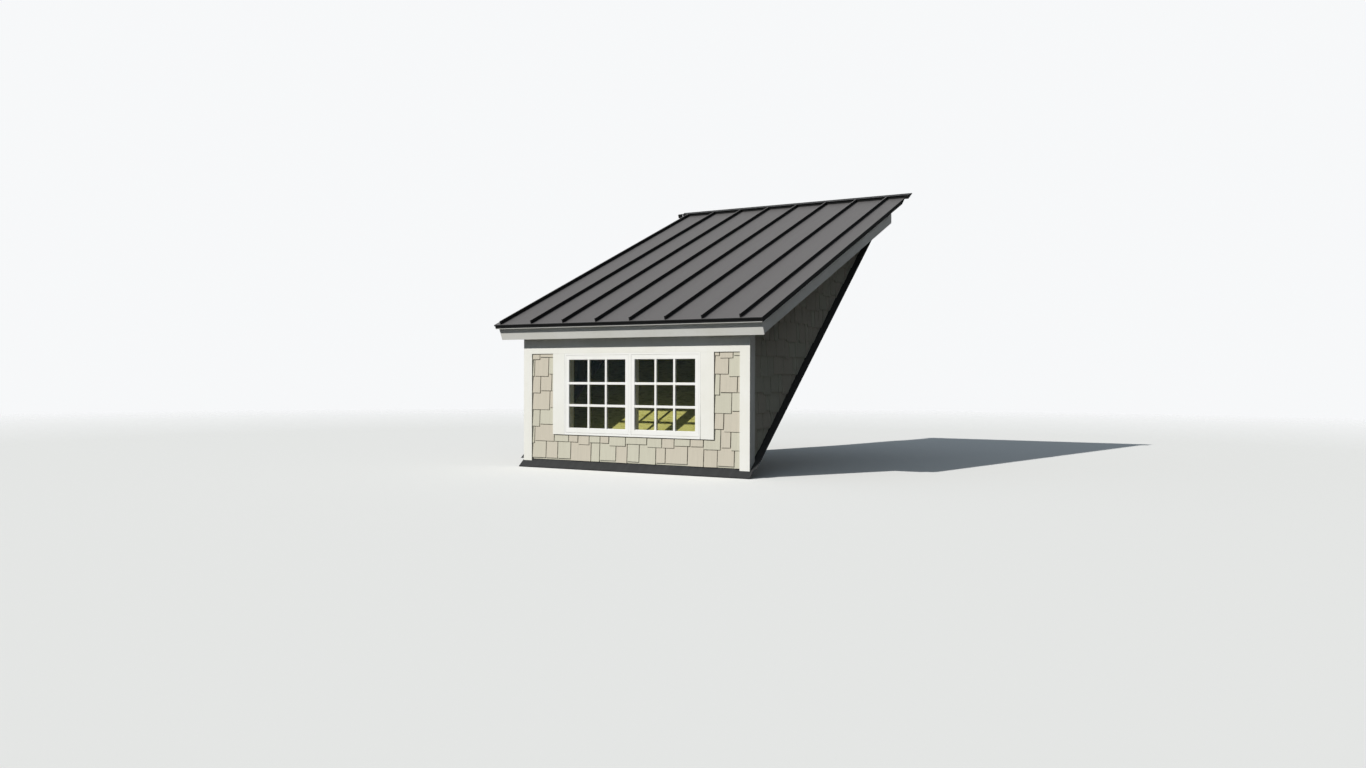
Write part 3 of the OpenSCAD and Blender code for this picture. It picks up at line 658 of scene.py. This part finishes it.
def cheekShingles(name, node, side, seed):
    s = shingles
    rng = random.Random(seed)
    low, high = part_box(node)
    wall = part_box("right_sheathing")[1].x
    target = bmesh.new()
    # edges of the cheek in the flat drawing, where x is the depth behind the front
    tip = low.z + (high.y - low.y) * mainRise
    planes = [
        (Vector((low.y, 0, 0)), Vector((-1, 0, 0))),
        (Vector((low.y, 0, low.z)), Vector((math.sin(mainAngle), 0, -math.cos(mainAngle)))),
        (Vector((high.y, 0, tip)), Vector((-math.sin(dormerAngle), 0, math.cos(dormerAngle)))),
    ]
    joints = []
    first = int((low.z - s["start"]) / s["course"]) - 1
    final = int((high.z - s["start"]) / s["course"])
    for k in range(first, final + 1):
        butt = s["start"] + k * s["course"]
        top = butt + s["course"] + s["lap"]
        reach = min(high.y, low.y + (top - low.z) / mainRise + s["spare"])
        row = randomCourse(low.y, max(reach, low.y + s["least"]), rng, joints)
        joints = [x1 for x0, x1, isShort in row]
        for x0, x1, isShort in row:
            z0 = butt + (s["stagger"] if isShort else 0)
            part = trimTo(shingleSolid(x0, x1, z0, top, drawShingle(rng)), planes)
            if part.faces:
                addMesh(target, part)
            else:
                part.free()
    # near-black felt behind the cheek's joints: painted shade
    deep, tall = felt["spare"]
    backer = block((low.y - deep, -felt["cheekFront"], low.z - tall),
                   (high.y + deep, -felt["back"], high.z + tall))
    trimTo(backer, planes)
    setTone(backer, felt["tone"])
    addMesh(target, backer)
    # out of the flat: depth becomes Y, and the wall's face looks sideways
    turn = Matrix(((0, -side, 0, side * wall), (1, 0, 0, 0), (0, 0, 1, 0), (0, 0, 0, 1)))
    bmesh.ops.transform(target, matrix=turn, verts=target.verts)
    if side < 0:
        bmesh.ops.reverse_faces(target, faces=target.faces)
    makePiece(name, target, cheekStain, [node])


print("shingles")
frontShingles()
cheekStain = shingleFinish("shingles_cheek", 1)
cheekShingles("left_shingles", "left_siding", -1, 23)
cheekShingles("right_shingles", "right_siding", 1, 31)

# Muntins: three by three lites in each sash, bars on both faces of the glass
muntins = {
    "across": 3,
    "up": 3,
    "width": 0.0275,
    "flat": 0.0230,          # the narrower front of the bevelled bar
    "close": (0.94, 0.98),   # spacing as a share of an even one, across and up
    "shift": (0.004, -0.004),
    "behind": 0.0004,        # level bars behind the upright ones
    "shy": 0.0015,           # behind the sash's face
    "shyInside": 0.0045,
    "stile": 0.044,
    "rail": 0.050,
    "cope": 0.0056,          # how far a bar's ends run into the sash's bevel
    "ease": 0.0012,
}


def addBar(target, low, high, front):
    m = muntins
    part = block(low, high)
    size = Vector(high) - Vector(low)
    middle = (Vector(high) + Vector(low)) / 2
    axis = 0 if size.x < size.z else 2
    narrow = m["flat"] / m["width"]
    for v in part.verts:
        if (v.co.y < middle.y) == front:
            v.co[axis] = middle[axis] + (v.co[axis] - middle[axis]) * narrow
    longEdges = [e for e in part.edges if e.calc_length() > max(size) / 2]
    easeEdges(part, longEdges, m["ease"], 2)
    addMesh(target, part)


# the middles of the bars between two ends
def barMiddles(start, end, count, close, shift):
    return [(start + end) / 2 + (end - start) * (i / count - 0.5) * close + shift
            for i in range(1, count)]


def sashMuntins(name, sashNode, glassNode):
    m = muntins
    low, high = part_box(sashNode)
    glassLow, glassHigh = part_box(glassNode)
    x0, x1 = low.x + m["stile"], high.x - m["stile"]
    z0, z1 = low.z + m["rail"], high.z - m["rail"]
    half = m["width"] / 2
    target = bmesh.new()
    for front in (True, False):
        if front:
            y0, y1, end = low.y + m["shy"], glassLow.y, m["cope"]
        else:
            y0, y1, end = glassHigh.y, high.y - m["shyInside"], 0.0
        for x in barMiddles(x0, x1, m["across"], m["close"][0], m["shift"][0]):
            addBar(target, (x - half, y0, z0 - end), (x + half, y1, z1 + end), front)
        if front:
            y0 += m["behind"]
        else:
            y1 -= m["behind"]
        for z in barMiddles(z0, z1, m["up"], m["close"][1], m["shift"][1]):
            addBar(target, (x0 - end, y0, z - half), (x1 + end, y1, z + half), front)
    makePiece(name, target, windowWhite)


print("muntins")
sashMuntins("left_muntins", "left_sash", "left_glass")
sashMuntins("right_muntins", "right_sash", "right_glass")

# Sealant beads over the joints between the window frame and the casings, widest at the foot: their
# grey is painted shadow along the joints, widest low on the right one, with darker random patches
sealantShadow = {
    "leftFoot": 0.00176,     # widths
    "rightFoot": 0.0075,
    "head": 0.0011,
    "proud": 0.0006,
    "deep": 0.002,           # its back behind the frame's face
    "short": 0.001,          # of the frame's foot and of the frieze
    "rise": 0.40,            # height of the wider part over the foot
    "ease": 0.0003,
    # the beads' grey paints the shadow along the joints; the darker patches are random
    "clean": (0.36, 0.36, 0.34),
    "dirt": (0.22, 0.22, 0.21),
    "dirtSize": (0.02, 0.02, 0.06),
    "rough": (0.55, 0.2),
    "gloss": 0.2,
}


# a grey bead that paints the shadow along a joint, darker in random patches
def sealantFinish(name):
    s = sealantShadow
    made = Finish(name, Specular_IOR_Level=s["gloss"])
    dirt = made.noise(s["dirtSize"], 4.0, seed=2.7)
    made.colour(made.blend(s["clean"], s["dirt"], made.ramp(dirt, (0.4, 0.0), (0.65, 1.0))))
    made.rough(*s["rough"], dirt)
    return made.material


def sealantBead(name, side, foot):
    s = sealantShadow
    low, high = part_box("window_frame")
    middle = side * (high.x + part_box("right_casing")[0].x) / 2
    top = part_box("frieze_board")[0].z - s["short"]
    bend = low.z + s["rise"]
    target = bmesh.new()
    for z0, z1, wide in ((low.z + s["short"], bend, foot), (bend, top, s["head"])):
        part = bmesh.new()
        bmesh.ops.create_cube(part, size=1.0)
        for v in part.verts:
            up = v.co.z > 0
            depth = low.y - s["proud"] if v.co.y < 0 else low.y + s["deep"]
            v.co = Vector((middle + v.co.x * (s["head"] if up else wide), depth, z1 if up else z0))
        faceEdges = [e for e in part.edges if all(v.co.y < low.y for v in e.verts)]
        easeEdges(part, faceEdges, s["ease"])
        addMesh(target, part)
    makePiece(name, target, sealantGrey)


print("sealantShadow")
sealantGrey = sealantFinish("sealantShadow")
sealantBead("left_sealant_shadow", -1, sealantShadow["leftFoot"])
sealantBead("right_sealant_shadow", 1, sealantShadow["rightFoot"])

# Stage: floor, light and camera
stage = {
    "floor": (0.82, 0.82, 0.81),
    "floorBounce": (0.03, 0.03, 0.03),   # what the floor sends back up on to the object
    "floorRough": 0.9,
    "floorBelow": 0.002,
    "fadeFrom": 10.0,        # the floor fades into the backdrop with its distance
    "fadeTo": 24.0,
    "reach": 60.0,
    "back": (0.93, 0.94, 0.95),
    "sky": (0.75, 0.88, 1.0),
    "dim": 0.03,             # sky level away from the lit side, and towards it
    "bright": 0.41,
    "litSide": (-0.36, -0.52, 0.77),
    "litFrom": -0.15,        # how far round to the dark side the lit sky reaches
    "sun": 4.1,
    "sunColour": (1.0, 0.975, 0.93),
    "sunSpread": 0.8,        # degrees
    "sunWay": (0.57, 1.0, -0.81),
}

print("stage")
floorMesh = bmesh.new()
bmesh.ops.create_grid(floorMesh, x_segments=1, y_segments=1, size=stage["reach"])
bmesh.ops.translate(floorMesh, vec=(0, 0, cadLow.z - stage["floorBelow"]), verts=floorMesh.verts)
floorData = bpy.data.meshes.new("floor")
floorMesh.to_mesh(floorData)
floorMesh.free()
floor = bpy.data.objects.new("floor", floorData)
bpy.context.collection.objects.link(floor)
floorFinish = Finish("floor", stage["floorRough"], Specular_IOR_Level=0.0)
shown = floorFinish.shownRays()
away = floorFinish.node("ShaderNodeVectorMath", {"operation": "LENGTH"},
                        {0: floorFinish.place}, "Value")
faded = floorFinish.ramp(away * (1 / stage["fadeTo"]),
                         (stage["fadeFrom"] / stage["fadeTo"], 0.0), (1.0, 1.0))
floorFinish.colour(floorFinish.blend(stage["floorBounce"], stage["floor"], shown))
solid = Wire(floorFinish, floorFinish.shader.outputs[0])
clear = floorFinish.node("ShaderNodeBsdfTransparent", {}, {})
surface = floorFinish.node("ShaderNodeMixShader", {}, {0: faded * shown, 1: solid, 2: clear})
floorFinish.feed(floorFinish.tree.nodes["Material Output"].inputs["Surface"], surface)
floorData.materials.append(floorFinish.material)

scene = bpy.context.scene
world = bpy.data.worlds.new("studio")
scene.world = world
world.use_nodes = True
studio = Graph(world.node_tree)
studio.tree.nodes.remove(studio.tree.nodes["Background"])
way = studio.node("ShaderNodeTexCoord", {}, {}, "Generated")
towards = studio.node("ShaderNodeVectorMath", {"operation": "DOT_PRODUCT"}, {
    0: way, 1: Vector(stage["litSide"]).normalized()}, "Value")
level = studio.node("ShaderNodeMapRange", {"interpolation_type": "SMOOTHSTEP"}, {
    "Value": towards, "From Min": stage["litFrom"], "From Max": 1.0,
    "To Min": stage["dim"], "To Max": stage["bright"]})
fill = studio.node("ShaderNodeBackground", {}, {"Color": (*stage["sky"], 1), "Strength": level})
back = studio.node("ShaderNodeBackground", {}, {"Color": (*stage["back"], 1)})
mixed = studio.node("ShaderNodeMixShader", {}, {0: studio.shownRays(), 1: fill, 2: back})
studio.feed(studio.tree.nodes["World Output"].inputs["Surface"], mixed)

sunLamp = bpy.data.lights.new("sun", "SUN")
sunLamp.energy = stage["sun"]
sunLamp.angle = math.radians(stage["sunSpread"])
sunLamp.color = stage["sunColour"]
sun = bpy.data.objects.new("sun", sunLamp)
sun.rotation_euler = Vector(stage["sunWay"]).to_track_quat("-Z", "Y").to_euler()
bpy.context.collection.objects.link(sun)

view = {
    "at": (5.9335, -9.1025, 0.8885),
    "yaw": 30.32,            # degrees
    "pitch": -0.258,
    "roll": 0.167,
    "focal": 1069.11,        # in pixels of a frame of this width
    "width": 1366,
    "sensor": 36,
    "far": 200,
}
cameraData = bpy.data.cameras.new("camera")
cameraData.sensor_width = view["sensor"]
cameraData.lens = view["focal"] / view["width"] * cameraData.sensor_width
cameraData.clip_end = view["far"]
camera = bpy.data.objects.new("camera", cameraData)
camera.matrix_world = (
    Matrix.Translation(view["at"])
    @ Matrix.Rotation(math.radians(view["yaw"]), 4, "Z")
    @ Matrix.Rotation(math.radians(90 + view["pitch"]), 4, "X")
    @ Matrix.Rotation(math.radians(view["roll"]), 4, "Z")
)
bpy.context.collection.objects.link(camera)
scene.camera = camera
scene.view_settings.view_transform = "Standard"
